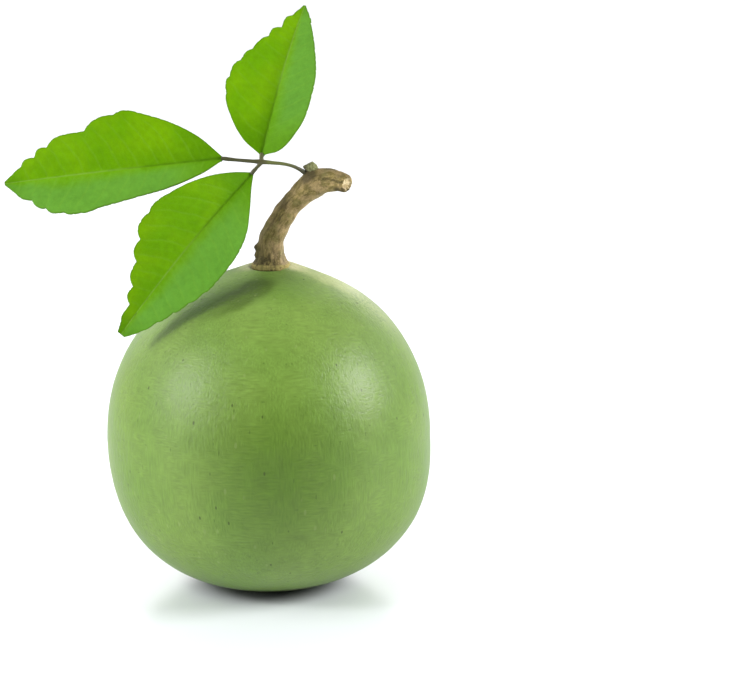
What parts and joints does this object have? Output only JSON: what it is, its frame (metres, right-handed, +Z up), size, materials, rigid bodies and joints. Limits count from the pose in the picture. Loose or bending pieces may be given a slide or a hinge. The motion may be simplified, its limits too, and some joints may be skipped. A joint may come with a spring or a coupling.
{
  "type": "bael fruit",
  "caption": "Whole round green bael fruit with a hard rind, a bent woody stalk and a leaf of toothed leaflets, resting on a small flat spot.",
  "frame": {"origin": "centre of the small flat spot on the underside of the fruit, on the surface that it rests on", "axes": "+Z up from the flat spot through the crown of the fruit; the leaf reaches out to -X; the upper sides of its leaflets look towards -Y"},
  "size_m": [0.1025, 0.08, 0.141],
  "materials": {
    "rind": "satin",
    "bark": "matte",
    "bud": "matte",
    "leaf_stalk": "satin",
    "leaf": "satin"
  },
  "bodies": {
    "root": {"fruit": "rind", "stalk": "bark", "bud": "bud", "petiole": "leaf_stalk", "leaflet_terminal": "leaf", "leaflet_upper": "leaf", "leaflet_lower": "leaf"}
  },
  "joints": []
}
